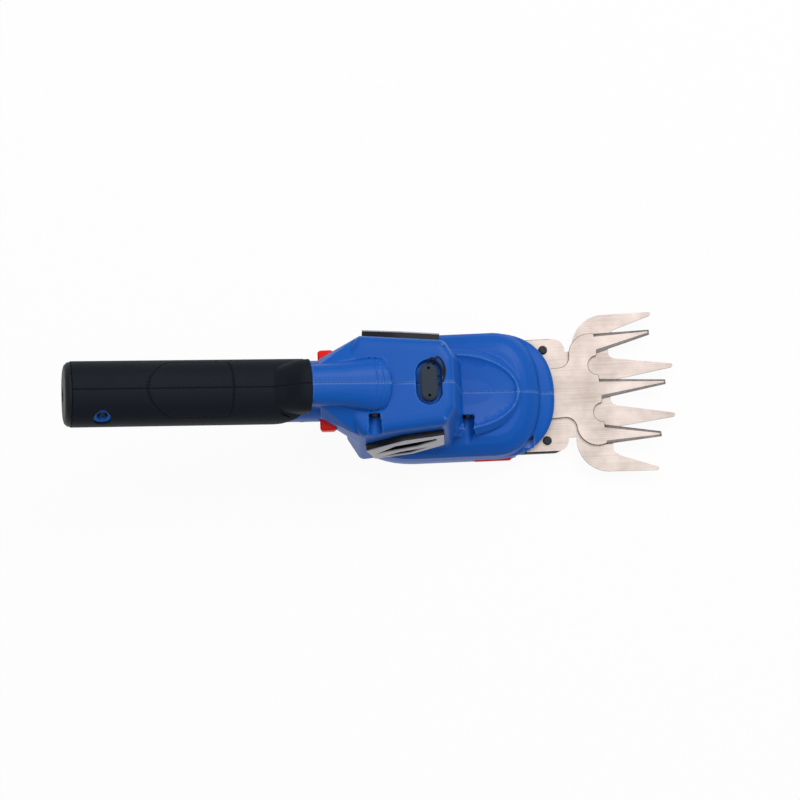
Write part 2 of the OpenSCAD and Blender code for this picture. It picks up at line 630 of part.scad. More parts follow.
// Trigger group
module trigger_outline() {
  translate([trig_x, trig_w]) circle(r = 3.8);
  difference() {
    polygon([[trig_x + 1, -13], [trig_x - trig_len, -13.6], [trig_x - trig_len, -24],
      [trig_x - trig_len + 6, -27.5], [trig_x - 12, -25.5], [trig_x, -20.4]]);
    translate([trig_x - trig_len * 0.55, -68]) circle(r = 43.4, $fn = 96);
  }
}
module trigger() color("#17181c") at_origin() in_handle() difference() {
  translate([0, trig_half, 0]) rotate([90, 0, 0]) linear_extrude(2 * trig_half) trigger_outline();
  y_rod(trig_x, trig_w, trig_pin_r + run_gap, -20, 20);
  translate([spring_x, 0, spring_foot - seat_gap]) cylinder(r = 3.1, h = 10);
}
module trigger_pin() color("#c4c6c9") at_origin() in_handle() y_rod(trig_x, trig_w, trig_pin_r, -13.8, 13.8);
module trigger_switch() color("#26282d") at_origin() in_handle() difference() {
  slab(switch_x - 6.4, switch_x + 6.4, -switch_half, switch_half, -11.1, -4.6);
  translate([switch_x, 0, -20]) cylinder(r = 1 + run_gap, h = 12);
}
module switch_plunger() color("#b4362c") at_origin() in_handle()
  translate([switch_x, 0, -12.9]) cylinder(r = 1, h = 3);

// Coil spring as one tube, ends closed flat
function coil_point(r, h, n, t) = [r * cos(360 * n * t), r * sin(360 * n * t), h * t];
module coil(r, wire, h, n, sides = 6, per = 8) {
  steps = n * per;
  skin([for (k = [0:steps]) let (t = k / steps, p = coil_point(r, h - 2 * wire, n, t), a = 360 * n * t)
    [for (j = [0:sides - 1]) let (b = 360 * j / sides)
      p + [0, 0, wire] + wire * [cos(a) * cos(b), sin(a) * cos(b), sin(b)]]]);
}
module trigger_spring() color("#b9bbbf") at_origin() in_handle() translate([spring_x, 0, spring_foot])
  coil(spring_r, wire_r, spring_top - spring_foot - 0.1, 7);

// Lock button: bar across the neck, pushed from either side
module lock_button() color("#d3221d") at_origin() translate([lock_x, 0, lock_z]) {
  e = 1.2;
  skin([for (s = [[-lock_reach, e], [-lock_reach + e, 0], [lock_reach - e, 0], [lock_reach, e]])
    let (h = lock_half - s[1])
      [for (q = rounded([[h, h], [-h, h], [-h, -h], [h, -h]], 1.2)) [q[0], s[0], q[1]]]]);
}

// Blade release: a button in each side wall, with a tongue that holds the blade carrier
module release(side) mirror([0, side < 0 ? 1 : 0, 0]) {
  slab(rel_x0 - 1.4, rel_x1, rel_in - rel_flange, rel_in + 0.8, rel_z0 - 0.8, rel_z1 + 1);
  slab(rel_x0, rel_x1, rel_in, rel_out - 1, rel_z0, rel_z1);
  slab(rel_x0 + 1, rel_x1 - 1, rel_out - 1.1, rel_out, rel_z0 + 1, rel_z1 - 1);
}
module release_left() color("#d3221d") at_origin() release(1);
module release_right() color("#d3221d") at_origin() release(-1);
module release_spring(side) mirror([0, side < 0 ? 1 : 0, 0])
  translate([rel_mid, post_y + 0.1, (rel_z0 + rel_z1) / 2]) rotate([-90, 0, 0])
    coil(spring_r, wire_r, rel_in - rel_flange - post_y - 0.2, 5);
module release_spring_left() color("#b9bbbf") at_origin() release_spring(1);
module release_spring_right() color("#b9bbbf") at_origin() release_spring(-1);

// Isolator plug over the motor, with two contact pins and a pull cord
module plug_outline(grow) {
  for (y = [-plug_half, plug_half]) translate([0, y]) circle(r = plug_r + grow);
  square([2 * (plug_r + grow), 2 * plug_half], center = true);
}
module plug_cap() color("#2a2c31") at_origin() translate([plug_x, 0, plug_floor + seat_gap]) difference() {
  union() {
    linear_extrude(plug_t - 0.8) plug_outline(0);
    linear_extrude(plug_t) plug_outline(-0.8);
  }
  for (y = [-pin_pitch, pin_pitch]) translate([0, y, -1]) {
    cylinder(r = contact_r + press_gap, h = 1 + pin_up + seat_gap);
    cylinder(r = eye_r, h = 20);
  }
}
module plug_pins() color("#c9a45c") at_origin() for (y = [-pin_pitch, pin_pitch])
  translate([plug_x, y, plug_floor - pin_down])
    cylinder(r = contact_r, h = pin_down + seat_gap + pin_up);
module plug_socket() color("#26282d") at_origin() difference() {
  slab(plug_x - 7, plug_x + 7, -13, 13, plug_floor - wall - parting - 8, plug_floor - wall - parting);
  for (y = [-pin_pitch, pin_pitch]) translate([plug_x, y, 60]) cylinder(r = contact_r + run_gap, h = 40);
}
// Route of the pull cord from the plug's centre: right side, eyelet end, round again to the right side
cord_route = [
  [4, 3.2, 3], [6.2, 3.3, 5.1], [8, 4, 5.8], [8.3, 6.4, 5.8], [7, 9.4, 5.8], [5, 12, 5.8], [3.2, 13.9, 5.8],
  [1.4, 13.9, 5.8], [0.2, 12.4, 5.2], [0, 10.9, 3.8], [1.5, 10.6, 3.2], [3, 10.8, 4.2], [3.6, 12.6, 7.2],
  [5.6, 14.4, 7.4], [7.8, 12.6, 7.2], [9.4, 9, 6], [9.7, 5.4, 5.8], [8.6, 1, 5.8],
  [6.4, -1.3, 5.1], [4, -2, 3]
];
function mix(a, b, c, d, t) = 0.5 * (2 * b + (c - a) * t + (2 * a - 5 * b + 4 * c - d) * t * t
  + (3 * b - a - 3 * c + d) * t * t * t);
function smooth(p, n) = concat([for (i = [0:len(p) - 2], k = [0:n - 1])
  mix(p[max(i - 1, 0)], p[i], p[i + 1], p[min(i + 2, len(p) - 1)], k / n)], [p[len(p) - 1]]);
module tube(path, r, sides = 8) skin([for (i = [0:len(path) - 1]) let (
    d = path[min(i + 1, len(path) - 1)] - path[max(i - 1, 0)], f = d / norm(d),
    u = cross(f, [0, 0, 1]) / norm(cross(f, [0, 0, 1])), v = cross(u, f))
  [for (j = [0:sides - 1]) let (a = -360 * j / sides) path[i] + r * (u * cos(a) + v * sin(a))]]);
module pull_cord() color("#0d0d0f") at_origin() translate([plug_x, 0, plug_floor + seat_gap])
  tube(smooth(cord_route, 3), cord_d / 2);

// Blades
// Teeth: [reach, tip y, tip width, root low y, root high y]
comb_teeth = [[comb_outer_reach, 48.8, 2.2, 38.4, fan_y + fan_r], [comb_reach, 15.6, 2.4, 7.6, 21.9]];
module tooth_2d(t, root) polygon([[root - 4, t[3]], [root, t[3]], [t[0], t[1] - t[2] / 2],
  [t[0] + tip_point, t[1]],
  [t[0], t[1] + t[2] / 2], [root, t[4]], [root - 4, t[4]]]);
module comb_outline() difference() {
  union() {
    difference() {
      intersection() {
        union() {
          translate([carrier_x0 + 0.5, -27]) square([45 - carrier_x0, 54]);
          translate([comb_plate_x0, -comb_plate_w])
            square([comb_plate_x - comb_corner - comb_plate_x0, 2 * comb_plate_w]);
          translate([comb_plate_x0, -comb_plate_w + comb_corner])
            square([comb_plate_x - comb_plate_x0, 2 * (comb_plate_w - comb_corner)]);
          both_sides_2d() {
            translate([comb_plate_x - comb_corner, comb_plate_w - comb_corner]) circle(r = comb_corner);
            translate([fan_x, fan_y]) circle(r = fan_r);
          }
          translate([25, -fan_y]) square([40, 2 * fan_y]);
        }
        translate([-60, -100]) square([60 + comb_root + gullet_r, 200]);
      }
      for (g = comb_gullets) gullet(g, comb_root, gullet_r);
    }
    both_sides_2d() for (t = comb_teeth) tooth_2d(t, comb_root);
  }
  circle(r = pivot_r + run_gap);
  both_sides_2d() translate([peg_x, peg_y]) circle(r = peg_r + run_gap);
}
module both_sides_2d() { children(); mirror([0, 1]) children(); }
// Gullets between the comb's teeth, low and high side, with rounded corners
comb_gullets = [[-7.6, 7.6], [21.9, 38.4], [-38.4, -21.9]];
module gullet(g, x, r) {
  translate([x + r, g[0] + r]) circle(r = r);
  translate([x + r, g[1] - r]) circle(r = r);
  translate([x, g[0] + r]) square([r + 1, g[1] - g[0] - 2 * r]);
}
module comb_blade() color("#cfc8c2") at_origin() translate([0, 0, comb_z])
  linear_extrude(blade_t) comb_outline();

// Moving blade: forked tail, round shoulders, three teeth ground to a bevel on both flanks
// Teeth: [root x, root low y, root high y, reach, tip y, tip width]
mover_teeth = [[32, -7.2, 7.2, mover_reach, 0, 2.9], [34, 21.3, 35.2, mover_reach - 6.4, 32.3, 3.2],
  [34, -35.2, -21.3, mover_reach - 6.4, -32.3, 3.2]];
// Inner corner between the neck and the round shoulder, with a fillet that touches both
module neck_corner() let (cy = mover_neck + neck_fillet, reach = mover_fan[2] + neck_fillet,
    cx = mover_fan[0] - sqrt(pow(reach, 2) - pow(cy - mover_fan[1], 2))) difference() {
  translate([cx, mover_neck - 1]) square([mover_fan[0] - cx, neck_fillet + 1]);
  translate([cx, cy]) circle(r = neck_fillet);
}
module mover_outline() difference() {
  union() {
    circle(r = 12);
    translate([tail_end, -tail_half]) square([-tail_end, 2 * tail_half]);
    translate([0, -mover_neck]) square([mover_fan[0], 2 * mover_neck]);
    both_sides_2d() neck_corner();
    intersection() {
      union() {
        both_sides_2d() translate([mover_fan[0], mover_fan[1]]) circle(r = mover_fan[2]);
        translate([24, -mover_fan[1]]) square([30, 2 * mover_fan[1]]);
      }
      translate([0, -60]) square([mover_gullet[0], 120]);
    }
  }
  both_sides_2d() translate([mover_gullet[0], mover_gullet[1]]) circle(r = mover_gullet[2]);
  circle(r = pivot_r + run_gap);
  // Fork for the cam bush, wide enough for the straight-line ratio between crank and blade
  translate([-crank_arm + crank_throw + bush_r, 0]) circle(r = bush_r + fork_gap);
  translate([tail_end - 1, -bush_r - fork_gap])
    square([-crank_arm + crank_throw + bush_r - tail_end + 1, 2 * (bush_r + fork_gap)]);
}
// A bevel narrows towards the tip, where a strip of the flat face stays
function tooth_ring(t, b, z) = let (tip = min(b, t[5] / 2 - tip_flat / 2))
  [[t[0], t[1] + b, z], [t[3] - tip, t[4] - t[5] / 2 + tip, z],
    [t[3] - tip, t[4] + t[5] / 2 - tip, z], [t[0], t[2] - b, z]];
module moving_blade() color("#cfc8c2") at_origin() translate([0, 0, mover_z]) rotate(rest_angle) {
  linear_extrude(blade_t) mover_outline();
  for (t = mover_teeth) skin([tooth_ring(t, 0, 0), tooth_ring(t, 0, land), tooth_ring(t, bevel, blade_t)]);
}

// Carrier: black bed of the comb, held under the nose by its two rails
module blade_carrier() color("#17181b") at_origin() difference() {
  union() {
    linear_extrude(comb_z - 0.05) {
      translate([carrier_x0, -carrier_half])
        square([carrier_x1 - comb_corner - carrier_x0, 2 * carrier_half]);
      translate([carrier_x0, -carrier_half + comb_corner])
        square([carrier_x1 - carrier_x0, 2 * (carrier_half - comb_corner)]);
      both_sides_2d() translate([carrier_x1 - comb_corner, carrier_half - comb_corner])
        circle(r = comb_corner);
    }
    both_sides() slab(carrier_x0 + 0.3, comb_plate_x0 - seat_gap, rail_in, carrier_half - 3,
      comb_z - 0.1, mouth_z - slide_gap);
  }
  translate([0, 0, -1]) cylinder(r = pivot_r + run_gap, h = 20);
  translate([0, 0, -1]) cylinder(r = 8.4, h = 1 + nut_z + nut_t);
  both_sides() translate([peg_x, peg_y, 1]) cylinder(r = peg_r + run_gap, h = 20);
  both_sides() slab(-9, 9, 14, 24, -1, comb_z - 2.4);
}
module comb_screws() color("#0f1012") at_origin() both_sides() translate([peg_x, peg_y, 0]) {
  translate([0, 0, 1.2]) cylinder(r = peg_r, h = comb_z + blade_t - 1.1);
  translate([0, 0, comb_z + blade_t + 0.03]) cylinder(r1 = 2.9, r2 = 2.2, h = 2.6);
}
module pivot_bolt() color("#9a9da2") at_origin() {
  translate([0, 0, nut_z - 0.2]) cylinder(r = pivot_r, h = mover_z + blade_t + 1 - nut_z);
  translate([0, 0, mover_z + blade_t + 0.1]) cylinder(r1 = 7.4, r2 = 6.6, h = 2);
}
module pivot_nut() color("#85888d") at_origin() translate([0, 0, nut_z]) difference() {
  cylinder(r = 7.6, h = nut_t - 0.05, $fn = 6);
  translate([0, 0, -1]) cylinder(r = pivot_r + press_gap, h = 20);
}

housing_left();
housing_right();
grip_left();
grip_right();
rear_cap();
sole_plate();
sole_screws();
housing_screws();
vent_insert_left();
vent_insert_right();
vent_trim_left();
vent_trim_right();
plug_socket();
motor_can();
motor_endbell();
motor_shaft();
motor_pinion();
gear_plate();
gear_axles();
compound_gear();
drive_gear();
cam_bush();
battery_cells();
cell_straps();
control_board();
charge_jack();
trigger_switch();
switch_plunger();
trigger();
trigger_pin();
trigger_spring();
lock_button();
release_left();
release_right();
release_spring_left();
release_spring_right();
plug_cap();
plug_pins();
pull_cord();
comb_blade();
moving_blade();
blade_carrier();
comb_screws();
pivot_bolt();
pivot_nut();
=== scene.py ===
# %% [markdown]
# # Cordless grass shears
# A battery tool for trimming lawn edges: a blue clamshell body, a black soft grip, and a three-toothed
# blade that a crank swings across a fixed comb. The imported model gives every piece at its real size.
# This lesson dresses it: soft moulded edges, real finishes, and the small things that solids leave out.

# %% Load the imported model
import json
import math

import bpy
from mathutils import Matrix, Vector


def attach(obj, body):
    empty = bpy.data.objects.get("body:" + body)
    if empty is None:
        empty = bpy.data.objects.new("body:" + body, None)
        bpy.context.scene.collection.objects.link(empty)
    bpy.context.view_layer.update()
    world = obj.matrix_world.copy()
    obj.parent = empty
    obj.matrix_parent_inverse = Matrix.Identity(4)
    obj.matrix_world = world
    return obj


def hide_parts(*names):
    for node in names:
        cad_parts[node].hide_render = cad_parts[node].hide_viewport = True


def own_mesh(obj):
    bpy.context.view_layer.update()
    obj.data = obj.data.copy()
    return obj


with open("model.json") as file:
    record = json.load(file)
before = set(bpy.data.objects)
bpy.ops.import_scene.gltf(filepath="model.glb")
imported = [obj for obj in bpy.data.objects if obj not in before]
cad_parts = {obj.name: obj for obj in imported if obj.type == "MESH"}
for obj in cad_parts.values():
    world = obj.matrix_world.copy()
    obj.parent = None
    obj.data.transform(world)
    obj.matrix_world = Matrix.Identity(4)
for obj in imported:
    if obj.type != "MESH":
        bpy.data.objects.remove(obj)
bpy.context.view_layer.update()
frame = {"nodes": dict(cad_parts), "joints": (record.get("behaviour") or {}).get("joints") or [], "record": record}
MM = 0.001

# %% [markdown]
# The blade's pivot and the sloping handle are the two places that everything else is measured from.
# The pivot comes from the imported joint, and the handle's axis from its slope and its distance behind it.

# %% Places to measure from
joints = {joint["name"]: joint for joint in frame["joints"]}
pivot = Vector(joints["blade_swing"]["pos_m"])
HANDLE_BACK = 136.5 * MM
HANDLE_UP = 70 * MM
HANDLE_TILT = math.radians(12)
HANDLE_HALF_WIDTH = 19.4 * MM
HANDLE_HALF_HEIGHT = 20 * MM
HANDLE_POWER = 2.3
HANDLE_LENGTH = 146 * MM
handle_axis = Vector((math.cos(HANDLE_TILT), 0, -math.sin(HANDLE_TILT)))
handle_up = Vector((math.sin(HANDLE_TILT), 0, math.cos(HANDLE_TILT)))
handle_root = Vector((pivot.x - HANDLE_BACK, 0, HANDLE_UP))


def in_handle(along, side, up):
    """A point given along, across and above the handle's axis, in the model's frame."""
    return handle_root + along * handle_axis + Vector((0, side, 0)) + up * handle_up


def body_of(node):
    """The moving body that a node belongs to."""
    return next(body for body, nodes in frame["record"]["behaviour"]["bodies"].items() if node in nodes)


# %% [markdown]
# The photograph looks down on the tool from about a metre and a half. The camera leans eight degrees to
# the tool's right side, so that side shows a little, and the tool is turned 2.5 degrees in the picture.

# %% Camera
VIEW_DISTANCE = 1.5
VIEW_WIDTH = 0.5
VIEW_LEAN = math.radians(8)
VIEW_ROLL = math.radians(2.5)
TARGET_BACK, TARGET_LEFT, TARGET_UP = 85.7 * MM, 0.9 * MM, 10 * MM
SENSOR_WIDTH = 36
view_target = Vector((pivot.x - TARGET_BACK, TARGET_LEFT, TARGET_UP))
lean_back = Vector((0, -math.sin(VIEW_LEAN), math.cos(VIEW_LEAN)))
lean_up = Vector((0, math.cos(VIEW_LEAN), math.sin(VIEW_LEAN)))
right = math.cos(VIEW_ROLL) * Vector((1, 0, 0)) - math.sin(VIEW_ROLL) * lean_up
up = math.sin(VIEW_ROLL) * Vector((1, 0, 0)) + math.cos(VIEW_ROLL) * lean_up

camera_data = bpy.data.cameras.new("camera")
camera_data.sensor_width = SENSOR_WIDTH
camera_data.lens = SENSOR_WIDTH * VIEW_DISTANCE / VIEW_WIDTH
camera = bpy.data.objects.new("camera", camera_data)
bpy.context.scene.collection.objects.link(camera)
turn = Matrix((right, up, lean_back)).transposed().to_4x4()
camera.matrix_world = Matrix.Translation(view_target + VIEW_DISTANCE * lean_back) @ turn
bpy.context.scene.camera = camera
print("lens", round(camera_data.lens, 1), "mm")

# %% [markdown]
# Colours are read off the object as sRGB hex values. Shaders want linear light, so one function converts
# them, and one more adds a node with its settings and links. Every finish below is built with these two.

# %% Colour and node helpers


def linear(code):
    """An sRGB hex colour as linear RGBA."""
    channels = [int(code[i:i + 2], 16) / 255 for i in (1, 3, 5)]
    return tuple(c / 12.92 if c <= 0.04045 else ((c + 0.055) / 1.055) ** 2.4 for c in channels) + (1.0,)


def add(tree, kind, inputs, **settings):
    """Adds a node: settings are its properties, and an input is a value or a socket to link from."""
    node = tree.nodes.new(kind)
    for name, value in settings.items():
        setattr(node, name, value)
    for name, value in inputs.items():
        if isinstance(value, bpy.types.NodeSocket):
            tree.links.new(value, node.inputs[name])
        else:
            node.inputs[name].default_value = value
    return node


def new_material(name, surface):
    """A material whose main shader has the given socket values."""
    material = bpy.data.materials.new(name)
    material.use_nodes = True
    shader = material.node_tree.nodes["Principled BSDF"]
    for socket, value in surface.items():
        shader.inputs[socket].default_value = value
    return material, material.node_tree, shader


# %% [markdown]
# Most of the tool is injection-moulded plastic. The steel mould is spark-eroded, which leaves a fine
# pebble grain, and the colour drifts slightly where the melt flowed. Such a grain is about 0.2 mm. On the
# body it is drawn at 0.6 mm, because anything finer vanishes in a picture of this size.

# %% Moulded plastics
DRIFT_SIZE = 35 * MM
GLOSS_SPREAD = 0.05
# Pointiness range and greatest share of the paler colour on sharp edges: a painted highlight.
HIGHLIGHT_FROM, HIGHLIGHT_FULL, HIGHLIGHT_MOST = 0.515, 0.57, 0.55


def moulded(name, dark, light, roughness, grain_mm, depth_mm, shine=0.2, painted_edge_highlight=None):
    """A moulded plastic or rubber: drifting colour, uneven gloss, a pebble grain, and paler sharp edges, a painted
    highlight.
    """
    material, tree, shader = new_material(name, {"Specular IOR Level": shine})
    place = add(tree, "ShaderNodeTexCoord", {})
    drift = add(tree, "ShaderNodeTexNoise", {
        "Vector": place.outputs["Object"], "Scale": 1 / DRIFT_SIZE, "Detail": 2.0})
    colour = add(tree, "ShaderNodeMix", {
        0: drift.outputs["Fac"], 6: linear(dark), 7: linear(light)}, data_type="RGBA")
    # Convex edges, found by pointiness, are mixed towards a paler colour: a painted highlight where such edges
    # catch the light.
    if painted_edge_highlight:
        form = add(tree, "ShaderNodeNewGeometry", {})
        edge = add(tree, "ShaderNodeMapRange", {
            "Value": form.outputs["Pointiness"], "From Min": HIGHLIGHT_FROM, "From Max": HIGHLIGHT_FULL, "To Max": HIGHLIGHT_MOST})
        colour = add(tree, "ShaderNodeMix", {
            0: edge.outputs["Result"], 6: colour.outputs[2], 7: linear(painted_edge_highlight)}, data_type="RGBA")
    tree.links.new(colour.outputs[2], shader.inputs["Base Color"])
    grain = add(tree, "ShaderNodeTexNoise", {
        "Vector": place.outputs["Object"], "Scale": 1 / (grain_mm * MM), "Detail": 1.0})
    gloss = add(tree, "ShaderNodeMapRange", {
        "Value": grain.outputs["Fac"], "From Min": 0.3, "From Max": 0.7,
        "To Min": roughness - GLOSS_SPREAD, "To Max": roughness + GLOSS_SPREAD})
    tree.links.new(gloss.outputs["Result"], shader.inputs["Roughness"])
    bump = add(tree, "ShaderNodeBump", {
        "Height": grain.outputs["Fac"], "Strength": 0.5, "Distance": depth_mm * MM})
    tree.links.new(bump.outputs["Normal"], shader.inputs["Normal"])
    return material


# The blue gets a pale lavender painted highlight on its sharp edges.
blue_abs = moulded("blue_moulded_abs", "#0453b0", "#0a5bbb", 0.4, 0.6, 0.02, 0.17, "#6d9ae6")
black_abs = moulded("black_moulded_abs", "#0c0f13", "#14181d", 0.5, 0.6, 0.02, 0.12)
gloss_abs = moulded("black_gloss_abs", "#0e1014", "#181b20", 0.2, 1.2, 0.004)
red_abs = moulded("red_moulded_abs", "#ec0f0a", "#f21711", 0.34, 0.7, 0.01, 0.12)
grip_tpe = moulded("black_soft_elastomer", "#0a0f17", "#10161e", 0.62, 0.7, 0.04, 0.1)
plug_rubber = moulded("grey_firm_rubber", "#27323e", "#303c49", 0.55, 0.7, 0.03, 0.12)
gear_acetal = moulded("natural_acetal", "#d6d2c6", "#dfdcd2", 0.35, 0.8, 0.01)
board_laminate = moulded("green_circuit_board", "#13522a", "#1a6334", 0.35, 0.9, 0.01)
cell_wrap = moulded("green_cell_wrap", "#2f7050", "#38805c", 0.25, 2.0, 0.01)
print("plastics:", [m.name for m in (blue_abs, black_abs, gloss_abs, red_abs, grip_tpe, plug_rubber)])

# %% [markdown]
# The blades are spring steel, ground flat on a belt, so fine scratches run along them. The scratches make
# the gloss and the colour change across the blade and stay even along it: a noise that is stretched sixty
# to one. The cutting bevels are ground again on a wheel, which leaves a darker, shinier band.

# %% Metals
STAIN_SIZE = 18 * MM


def ground_metal(name, dark, light, roughness, line_mm, run_mm, depth_mm=0.004):
    """A ground or turned metal with scratches that run along the tool."""
    material, tree, shader = new_material(name, {"Metallic": 1.0})
    place = add(tree, "ShaderNodeTexCoord", {})
    stretch = add(tree, "ShaderNodeMapping", {
        "Vector": place.outputs["Object"],
        "Scale": (1 / (run_mm * MM), 1 / (line_mm * MM), 1 / (line_mm * MM))})
    lines = add(tree, "ShaderNodeTexNoise", {
        "Vector": stretch.outputs["Vector"], "Scale": 1.0, "Detail": 4.0, "Roughness": 0.6})
    stain = add(tree, "ShaderNodeTexNoise", {
        "Vector": place.outputs["Object"], "Scale": 1 / STAIN_SIZE, "Detail": 3.0})
    both = add(tree, "ShaderNodeMath", {0: lines.outputs["Fac"], 1: stain.outputs["Fac"]}, operation="ADD")
    tone = add(tree, "ShaderNodeMapRange", {"Value": both.outputs["Value"], "From Min": 0.7, "From Max": 1.3})
    colour = add(tree, "ShaderNodeMix", {
        0: tone.outputs["Result"], 6: linear(dark), 7: linear(light)}, data_type="RGBA")
    tree.links.new(colour.outputs[2], shader.inputs["Base Color"])
    gloss = add(tree, "ShaderNodeMapRange", {
        "Value": lines.outputs["Fac"], "From Min": 0.3, "From Max": 0.7,
        "To Min": roughness - 0.08, "To Max": roughness + 0.1})
    tree.links.new(gloss.outputs["Result"], shader.inputs["Roughness"])
    bump = add(tree, "ShaderNodeBump", {
        "Height": lines.outputs["Fac"], "Strength": 0.4, "Distance": depth_mm * MM})
    tree.links.new(bump.outputs["Normal"], shader.inputs["Normal"])
    return material


blade_steel = ground_metal("belt_ground_steel", "#887e79", "#b3a9a4", 0.45, 0.7, 42)
bevel_steel = ground_metal("wheel_ground_bevel", "#76716f", "#9c9794", 0.3, 3.0, 3.0)
# A dark steel for the moving blade's chamfer: a painted shadow line along its outline.
shadow_line_steel = ground_metal("painted_shadow_edge", "#3d3835", "#554e4a", 0.5, 0.8, 6)
bolt_steel = ground_metal("turned_steel", "#8b8e93", "#a9acb0", 0.3, 0.8, 8)
screw_black = ground_metal("blackened_steel", "#1c1d20", "#2b2d31", 0.4, 1.0, 4)
brass = ground_metal("turned_brass", "#a98549", "#c9a565", 0.28, 0.8, 6)
dark_brass = ground_metal("tarnished_brass", "#1f1b16", "#302a22", 0.45, 0.8, 6)
motor_shell = ground_metal("zinc_plated_can", "#8e9094", "#abadb1", 0.3, 1.5, 6)
nickel_strip = ground_metal("nickel_strip", "#b5b5b3", "#c9c9c7", 0.25, 0.8, 10)
silver_paint = moulded("silver_painted_plastic", "#aeadb5", "#bfbec6", 0.42, 0.6, 0.015, 0.3)
print("metals:", [m.name for m in (blade_steel, bevel_steel, bolt_steel, brass)])

# %% [markdown]
# A CAD node arrives as loose, flat-shaded triangles. A copy of it is merged, its coplanar triangles are
# joined, its hard edges get the small radius that a mould or a deburring wheel leaves, and curved faces
# are shaded smooth. The copy then stands for the node and rides on the same body.

# %% Dressing a node
MERGE_DISTANCE = 0.02 * MM
FLAT_ANGLE = math.radians(0.5)
HARD_ANGLE = math.radians(35)


def pick(piece):
    """Selects one object and nothing else."""
    bpy.ops.object.select_all(action="DESELECT")
    piece.select_set(True)
    bpy.context.view_layer.objects.active = piece


def merged_copy(node):
    """A copy of a node's mesh with its doubles merged and its flat areas joined."""
    piece = bpy.data.objects.new(node + "_dressed", frame["nodes"][node].data.copy())
    bpy.context.scene.collection.objects.link(piece)
    pick(piece)
    bpy.ops.object.mode_set(mode="EDIT")
    bpy.ops.mesh.select_all(action="SELECT")
    bpy.ops.mesh.remove_doubles(threshold=MERGE_DISTANCE)
    bpy.ops.mesh.dissolve_limited(angle_limit=FLAT_ANGLE)
    bpy.ops.object.mode_set(mode="OBJECT")
    return piece


def soften(piece, radius_mm):
    """Rounds the hard edges and shades the rest smooth."""
    pick(piece)
    if radius_mm > 0:
        bevel = piece.modifiers.new("edge", "BEVEL")
        bevel.width = radius_mm * MM
        bevel.segments = 2
        bevel.limit_method = "ANGLE"
        bevel.angle_limit = HARD_ANGLE
        bpy.ops.object.modifier_apply(modifier=bevel.name)
    bpy.ops.object.shade_smooth_by_angle(angle=HARD_ANGLE)
    flats = piece.modifiers.new("flats", "WEIGHTED_NORMAL")
    flats.keep_sharp = True
    bpy.ops.object.modifier_apply(modifier=flats.name)


def ease(piece, voxel_mm, passes, share):
    """Rebuilds a piece from fine voxels and relaxes it, so every edge gets the radius of a mould."""
    pick(piece)
    rebuild = piece.modifiers.new("rebuild", "REMESH")
    rebuild.mode = "VOXEL"
    rebuild.voxel_size = voxel_mm * MM
    relax = piece.modifiers.new("relax", "SMOOTH")
    relax.factor = 0.5
    relax.iterations = passes
    thin = piece.modifiers.new("thin", "DECIMATE")
    thin.ratio = share
    for modifier in (rebuild, relax, thin):
        bpy.ops.object.modifier_apply(modifier=modifier.name)
    bpy.ops.object.shade_smooth()
    print(piece.name, len(piece.data.polygons), "faces")


def true_up(piece, point, normal, reach_mm):
    """Moves what lies near a plane onto it, so that a parting line is fine and straight again."""
    for vertex in piece.data.vertices:
        gap = (vertex.co - point).dot(normal)
        if abs(gap) < reach_mm * MM:
            vertex.co -= gap * normal


def seat(piece, node, material):
    """Lets a dressed copy stand for its node."""
    piece.data.materials.clear()
    piece.data.materials.append(material)
    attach(piece, body_of(node))
    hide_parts(node)


def dress(node, material, radius_mm=0.0):
    """Merged, softened copy of a node in its finish."""
    piece = merged_copy(node)
    soften(piece, radius_mm)
    seat(piece, node, material)
    return piece


# %% [markdown]
# Grooves and notches are cut out of a finished piece with a cutter, as a mould-maker would add them to
# the tool. A groove's cutter is a thin tube whose middle runs along the surface.

# %% Cutters


def round_curve(name, path, radius, resolution, closed=False):
    """A curve object with a round section along a path of points."""
    curve = bpy.data.curves.new(name, "CURVE")
    curve.dimensions = "3D"
    curve.bevel_depth = radius
    curve.bevel_resolution = resolution
    curve.use_fill_caps = True
    spline = curve.splines.new("POLY")
    spline.points.add(len(path) - 1)
    for point, place in zip(spline.points, path):
        point.co = (*place, 1)
    spline.use_cyclic_u = closed
    piece = bpy.data.objects.new(name, curve)
    bpy.context.scene.collection.objects.link(piece)
    return piece


def tube(name, path, radius_mm, closed=False):
    """A mesh tube along a path of points."""
    pick(round_curve(name, path, radius_mm * MM, 2, closed))
    bpy.ops.object.convert(target="MESH")
    return bpy.context.active_object


def cut(piece, cutters):
    """Takes the cutters' shapes out of a piece."""
    pick(piece)
    for cutter in cutters:
        difference = piece.modifiers.new("cut", "BOOLEAN")
        difference.operation = "DIFFERENCE"
        difference.solver = "EXACT"
        difference.object = cutter
        bpy.ops.object.modifier_apply(modifier=difference.name)


def block(name, points, faces):
    """A closed block from its corners and faces, with its faces turned outwards."""
    mesh = bpy.data.meshes.new(name)
    mesh.from_pydata(points, [], faces)
    piece = bpy.data.objects.new(name, mesh)
    bpy.context.scene.collection.objects.link(piece)
    pick(piece)
    bpy.ops.object.mode_set(mode="EDIT")
    bpy.ops.mesh.select_all(action="SELECT")
    bpy.ops.mesh.normals_make_consistent(inside=False)
    bpy.ops.object.mode_set(mode="OBJECT")
    return piece


def discard(pieces):
    """Removes cutters that are no longer needed."""
    for piece in pieces:
        bpy.data.objects.remove(piece)


def power(value, exponent):
    """A power that keeps the sign of its base."""
    return math.copysign(abs(value) ** exponent, value)


# %% [markdown]
# Two thin ring grooves run round the front of the neck ridge. Each follows the ridge's arched section,
# which bulges forward in the middle.

# %% Body
RIDGE_HEIGHT = 33.5
RIDGE_POWER, RIDGE_RISE = 0.8, 0.75
GROOVE_RADIUS = 0.4
RING_GROOVES = [(28.7, 16.4, 0.3, 3.4), (32.3, 16.5, 0.5, 4.0)]


